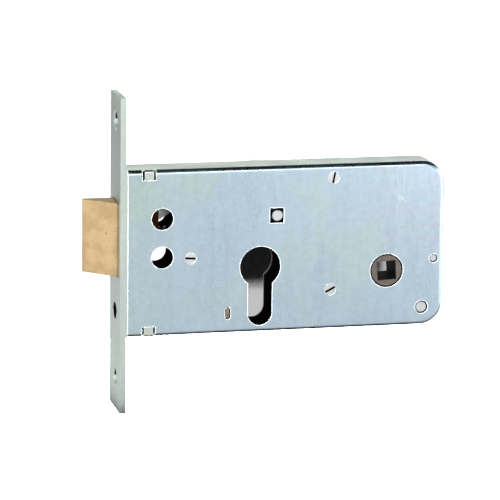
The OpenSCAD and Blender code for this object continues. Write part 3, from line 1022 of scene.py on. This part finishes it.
@dataclass
class MovingParts(Assembly):
    """Latch head, its tail and rivets, the follower and the cylinder lever.

    Attributes:
        cast_edge: rounded edge of the cast head.
        blank_edge: broken edge of the blanked tail and lever.
    """

    cast_edge: float = 0.3 * MM
    blank_edge: float = 0.15 * MM

    def build(self) -> None:
        """Builds the sliding pieces, then the turning ones."""
        self.from_node("latch_head", "cast_latch", Look.BRASS, Body.LATCH, self.cast_edge, 3)
        self.from_node("latch_tail", "latch_tail_plate", Look.STEEL, Body.LATCH, self.blank_edge)
        self.from_node("tail_rivets", "tail_rivet_pair", Look.STEEL, Body.LATCH, self.blank_edge)
        self.from_node("follower", "sintered_follower", Look.SINTERED, Body.FOLLOWER, 0.0)
        self.from_node("cylinder_lever", "blanked_lever", Look.STEEL, Body.LEVER, self.blank_edge)


@dataclass
class Springs(Assembly):
    """The three springs, wound from round wire.

    Attributes:
        latch_wire: radius of the latch spring's wire.
        latch_turns: its turns, the closed ones at its ends among them.
        follower_wire: radius of the follower spring's wire.
        follower_coil: radius of its turns.
        lever_wire: radius of the lever spring's wire.
        lever_coil: radius of its turns.
        turn_steps: points to one turn.
    """

    latch_wire: float = 0.45 * MM
    latch_turns: int = 11
    follower_wire: float = 0.5 * MM
    follower_coil: float = 8.6 * MM
    lever_wire: float = 0.3 * MM
    lever_coil: float = 3.0 * MM
    turn_steps: int = 32

    def build(self) -> None:
        """Winds the springs, with their ends where they push."""
        self._latch_spring()
        self._torsion("follower_spring", "follower_coil_spring", "follower_turn", Body.FOLLOWER,
                      self.follower_wire, self.follower_coil, 20.0, -745.0,
                      Vector((14.4, 0.0, -3.4)) * MM, Vector((12.9, 0.0, -19.4)) * MM)
        self._torsion("lever_spring", "lever_hairpin_spring", "cylinder_lever_turn", Body.LEVER,
                      self.lever_wire, self.lever_coil, 180.0, 540.0,
                      Vector((-3.0, 0.0, 10.0)) * MM, Vector((6.0, 0.0, 15.0)) * MM)

    def _latch_spring(self) -> None:
        """Winds the compression spring, with a closed turn at each end."""
        low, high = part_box("latch_spring")
        middle = (low + high) / 2
        radius = (high.z - low.z) / 2 - self.latch_wire
        first = low.x + self.latch_wire
        length = high.x - self.latch_wire - first
        closed = 2.1 * self.latch_wire
        last = self.latch_turns * self.turn_steps
        points = []
        for step in range(last + 1):
            turn = step / self.turn_steps
            if turn < 1:
                along = closed * turn
            elif turn > self.latch_turns - 1:
                along = length - closed * (self.latch_turns - turn)
            else:
                share = (turn - 1) / (self.latch_turns - 2)
                along = closed + (length - 2 * closed) * share
            angle = math.tau * turn
            points.append(Vector((first + along, middle.y + radius * math.cos(angle),
                                  middle.z + radius * math.sin(angle))))
        piece = Bench.wire(points, self.latch_wire, "latch_coil_spring")
        Bench.smooth(piece, 60.0)
        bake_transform(piece)
        self.settle(piece, Look.WIRE, None, "latch_spring")

    def _torsion(self, node: str, name: str, joint: str, body: Body, wire: float, coil: float,
                 start: float, sweep: float, near_leg: Vector, far_leg: Vector) -> None:
        """Winds a torsion spring round a hinge's axis, with a leg at each end.

        Args:
            node: the CAD node.
            name: the piece's name.
            joint: the hinge whose axis it is wound round.
            body: not used.
            wire: radius of the wire.
            coil: radius of the turns.
            start: angle of the near end, in degrees.
            sweep: angle that the coil runs through, in degrees.
            near_leg: free end of the near leg, from the axis.
            far_leg: free end of the far leg, from the axis.
        """
        axis = next(Vector(j["pos_m"]) for j in frame["joints"] if j["name"] == joint)
        low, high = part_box(node)
        near_y, far_y = low.y + wire, high.y - wire

        def on_coil(share: float) -> Vector:
            """A point on the coil, from its near end to its far one."""
            angle = math.radians(start + sweep * share)
            return Vector((coil * math.cos(angle), near_y + (far_y - near_y) * share,
                           coil * math.sin(angle)))

        steps = round(abs(sweep) / 360.0 * self.turn_steps)
        turns = [on_coil(i / steps) for i in range(steps + 1)]
        near_end = Vector((near_leg.x, near_y, near_leg.z))
        far_end = Vector((far_leg.x, far_y, far_leg.z))
        path = [near_end.lerp(turns[0], i / 6) for i in range(6)]
        path += turns
        path += [turns[-1].lerp(far_end, i / 6) for i in range(1, 7)]
        offset = Vector((axis.x, 0.0, axis.z))
        piece = Bench.wire([offset + p for p in path], wire, name)
        Bench.smooth(piece, 60.0)
        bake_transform(piece)
        self.settle(piece, Look.WIRE, None, node)


# ---- studio -----------------------------------------------------------------------------


@dataclass
class Studio:
    """Floor, lights and camera.

    Attributes:
        camera_at: place of the camera.
        forward: direction that it looks in.
        up: direction that is up in the picture.
        lens: focal length in millimetres.
        floor_size: width of the floor.
        front_level: painted glow of the floor in front, which only reflections see, as the
            cover's face reflects it.
        right_gain: how much brighter the painted glow of the floor to the right is.
        behind_loss: how much darker the painted glow of the floor behind and to the left is.
        horizon_front: colour of the horizon in front of the lock.
        horizon_behind: colour of the horizon behind it.
        ceiling: colour of the ceiling.
        world_fill: share of the surroundings' light that reaches matt surfaces.
        high_sun: direction of the sun that lights the floor behind the lock.
        sun_power: its strength.
        low_sun: direction of the lower sun, which shines under the case.
        low_power: its strength.
        sun_angle: width of both suns.
        lamp_power: power of the bare lamp beside the camera, in watts.
        lamp_aside: how far it stands to the camera's right.
        lamp_radius: its radius.
    """

    camera_at: Vector = field(default_factory=lambda: Vector((-0.31115, -1.31206, 0.31057)))
    forward: Vector = field(default_factory=lambda: Vector((0.22325, 0.94943, -0.22078)))
    up: Vector = field(default_factory=lambda: Vector((0.03792, 0.21786, 0.97524)))
    lens: float = 237.9
    floor_size: float = 30.0
    front_level: float = 0.65
    right_gain: float = 0.9
    behind_loss: float = 0.28
    horizon_front: Colour = (0.62, 0.66, 0.64)
    horizon_behind: Colour = (0.74, 0.79, 0.74)
    ceiling: Colour = (0.010, 0.010, 0.010)
    world_fill: float = 0.04
    high_sun: Vector = field(default_factory=lambda: Vector((0.332, 0.949, -0.221)))
    sun_power: float = 28.0
    low_sun: Vector = field(default_factory=lambda: Vector((0.172, 0.974, -0.146)))
    low_power: float = 14.0
    sun_angle: float = math.radians(1.2)
    lamp_power: float = 950.0
    lamp_aside: float = 0.12
    lamp_radius: float = 0.004

    def build(self) -> None:
        """Sets up everything that isn't part of the lock."""
        self._camera()
        self._floor()
        self._world()
        self._floor_lights()
        self._softboxes()
        bpy.context.scene.view_settings.view_transform = "Standard"

    def _camera(self) -> None:
        """Places the camera."""
        data = bpy.data.cameras.new("studio_camera")
        data.lens = self.lens
        data.sensor_width = 36.0
        data.clip_start = 0.05
        data.clip_end = 60.0
        camera = bpy.data.objects.new("studio_camera", data)
        bpy.context.scene.collection.objects.link(camera)
        back = -self.forward.normalized()
        right = self.up.cross(back).normalized()
        up = back.cross(right)
        turn = Matrix((right, up, back)).transposed()
        camera.matrix_world = Matrix.Translation(self.camera_at) @ turn.to_4x4()
        bpy.context.scene.camera = camera

    def _floor(self) -> None:
        """Lays a pale matt floor, which reflections see as a painted glow: brighter to the right,
        darker behind, with a painted shadow round the lock.
        """
        bpy.ops.object.select_all(action="DESELECT")
        bpy.ops.mesh.primitive_plane_add(size=self.floor_size, location=(0, 0, CAD_BOX[0].z))
        floor = bpy.context.object
        floor.name = "studio_floor"
        material = bpy.data.materials.new("pale_floor")
        material.use_nodes = True
        graph = Graph(material.node_tree)
        nodes = material.node_tree.nodes
        shader = nodes["Principled BSDF"]
        shader.inputs["Base Color"].default_value = (0.80, 0.80, 0.80, 1.0)
        shader.inputs["Roughness"].default_value = 0.9
        shader.inputs["Specular IOR Level"].default_value = 0.0
        across, along, _ = graph.parts(graph.add("ShaderNodeTexCoord").outputs["Object"])
        # Painted reflection: the glow that reflected rays see is raised to the right and lowered
        # behind.
        right = graph.times(graph.span(across, 0.19, 0.27), graph.span(along, 0.12, 0.02))
        behind = graph.times(graph.span(along, 0.0, 0.5), graph.span(across, 0.2, -0.1))
        # Painted shadow: round and under the lock the reflected glow goes dark.
        under = graph.times(graph.span(along, -0.035, -0.010), graph.span(along, 0.10, 0.05),
                            graph.span(across, -0.070, -0.055), graph.span(across, 0.18, 0.13))
        level = graph.math("ADD", self.front_level, graph.times(right, self.right_gain))
        level = graph.math("SUBTRACT", level, graph.times(behind, self.behind_loss))
        level = graph.times(level, graph.math("SUBTRACT", 1.0, under))
        glow = graph.add("ShaderNodeEmission", {"Strength": level})
        glossy = graph.add("ShaderNodeLightPath").outputs["Is Glossy Ray"]
        mixed = graph.add("ShaderNodeMixShader", {0: glossy, 1: shader.outputs[0],
                                                  2: glow.outputs[0]})
        graph.feed(nodes["Material Output"].inputs["Surface"], mixed.outputs[0])
        floor.data.materials.append(material)

    def _world(self) -> None:
        """Surrounds the lock with a pale horizon under a dark ceiling."""
        world = bpy.data.worlds.new("studio")
        bpy.context.scene.world = world
        world.use_nodes = True
        graph = Graph(world.node_tree)
        ground = world.node_tree.nodes["Background"]
        _, along, height = graph.parts(graph.add("ShaderNodeTexCoord").outputs["Generated"])
        horizon = graph.mix(graph.span(along, 0.0, 0.7), self.horizon_front, self.horizon_behind)
        colour = graph.mix(graph.span(height, 0.40, 0.60), horizon, self.ceiling)
        graph.feed(ground.inputs["Color"], colour)
        paths = graph.add("ShaderNodeLightPath")
        graph.feed(ground.inputs["Strength"],
                   graph.span(paths.outputs["Is Diffuse Ray"], 0.0, 1.0, 1.0, self.world_fill))

    @staticmethod
    def _light(name: str, kind: str, power: float, place: Vector, towards: Vector,
               **settings: object) -> Object:
        """Places a light that the camera doesn't see.

        Args:
            name: the light's name.
            kind: its type.
            power: its strength, or in watts its power.
            place: where it stands.
            towards: direction that it shines in.
            settings: its own properties.

        Returns:
            The light.
        """
        data = bpy.data.lights.new(name, kind)
        for setting, value in settings.items():
            setattr(data, setting, value)
        data.energy = power
        light = bpy.data.objects.new(name, data)
        light.location = place
        light.rotation_euler = towards.to_track_quat("-Z", "Y").to_euler()
        light.visible_camera = False
        bpy.context.scene.collection.objects.link(light)
        return light

    def _floor_lights(self) -> None:
        """Lights the floor from the front, so that the lock's shadow falls behind it."""
        centre = Vector()
        lights = [self._light(name, "SUN", power, centre, towards, angle=self.sun_angle)
                  for name, towards, power in (("high_sun", self.high_sun, self.sun_power),
                                               ("low_sun", self.low_sun, self.low_power))]
        beside = self.camera_at + Vector((self.lamp_aside, 0.0, 0.0))
        lights.append(self._light("bare_lamp", "POINT", self.lamp_power, beside, self.forward,
                                  shadow_soft_size=self.lamp_radius))
        for light in lights:
            light.visible_glossy = False

    def _softboxes(self) -> None:
        """Hangs three softboxes that point at the lock and show in its polished faces."""
        for name, place, width, height, power in (
                ("front_softbox", (-0.1, -1.7, 1.0), 1.8, 0.5, 9.0),
                ("right_softbox", (1.3, -0.3, 0.25), 0.9, 0.5, 4.0),
                ("left_softbox", (-1.4, -0.9, 0.4), 0.7, 0.6, 6.0)):
            light = self._light(name, "AREA", power, Vector(place), -Vector(place),
                                shape="RECTANGLE", size=width, size_y=height)
            light.visible_diffuse = False


def finishes() -> dict[Look, Material]:
    """Mixes every finish.

    Returns:
        The materials by slot.
    """
    effects = Effects()
    recipes = {
        # Cover and case: the faces behind their outer faces, inside the case, get painted shade.
        Look.COVER: ZincPlate("cover_zinc", (0.66, 0.82, 0.95), roughness=0.30, spread=0.05,
                              bump=0.004 * MM, outer_face=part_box("cover")[0].y,
                              margin=2.4 * MM),
        Look.CASE: ZincPlate("case_zinc", (0.88, 0.93, 0.90), roughness=0.32, spread=0.05,
                             bump=0.004 * MM, green=(0.82, 0.91, 0.85),
                             edge_wear_and_shade_tone=(0.86, 0.90, 0.87), edge_metal=0.94,
                             outer_face=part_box("side_plate")[1].y),
        # Forend: painted shade in its holes, set by bores.
        Look.FOREND: ZincPlate("forend_zinc", (0.84, 0.92, 0.92), roughness=0.38, spread=0.05,
                               bump=0.004 * MM, green=(0.80, 0.90, 0.84),
                               edge_reach=0.00014, edge_wear_and_shade_tone=(0.60, 0.68, 0.66), edge_metal=1.0,
                               bores=((62.4 * MM, 2.5 * MM), (-46.6 * MM, 2.5 * MM),
                                      (-18.5 * MM, 2.9 * MM))),
        # Studs: their dark edge tone paints a ring of shade round their ends.
        Look.STUDS: ZincPlate("stud_zinc", (0.90, 0.90, 0.91), roughness=0.40, spread=0.05,
                              bump=0.006 * MM, edge_reach=0.00025,
                              edge_wear_and_shade_tone=(0.05, 0.05, 0.05), edge_metal=1.0),
        # Screws: painted shade in their slots, and a dark edge tone that paints a ring of shade
        # round their heads.
        Look.SCREWS: ZincPlate("screw_zinc", (0.95, 0.96, 0.97), roughness=0.40, spread=0.05,
                               bump=0.006 * MM, slot_shade_depth=0.14 * MM, edge_reach=0.00016,
                               edge_wear_and_shade_tone=(0.10, 0.10, 0.10), edge_metal=1.0),
        Look.BRASS: CastBrass("tumbled_brass", (0.86, 0.62, 0.34), roughness=0.55, spread=0.1,
                              bump=0.03 * MM),
        Look.STEEL: PlainMetal("oiled_steel", (0.40, 0.40, 0.40), roughness=0.36,
                               bump=0.004 * MM),
        Look.SINTERED: Sintered("browned_sinter", (0.21, 0.18, 0.165), roughness=0.5,
                                bump=0.03 * MM),
        Look.WIRE: PlainMetal("drawn_wire", (0.40, 0.41, 0.43), roughness=0.28,
                              bump=0.003 * MM),
        Look.BRONZE: PlainMetal("rolled_bronze", (0.62, 0.45, 0.32), roughness=0.42,
                                lines=(2600.0, 2600.0, 160.0), bump=0.004 * MM),
    }
    return {look: recipe.material(effects) for look, recipe in recipes.items()}


def main() -> None:
    """Builds the lock's pieces and the studio."""
    logging.basicConfig(level=logging.INFO, format="%(name)s: %(message)s")
    Studio().build()
    materials = finishes()
    for assembly in (Housing, Fixings, MovingParts, Springs):
        made = assembly(materials)
        made.build()
        LOG.info("%s: %d pieces", assembly.__name__, len(made.pieces))


if __name__ == "__main__":
    main()
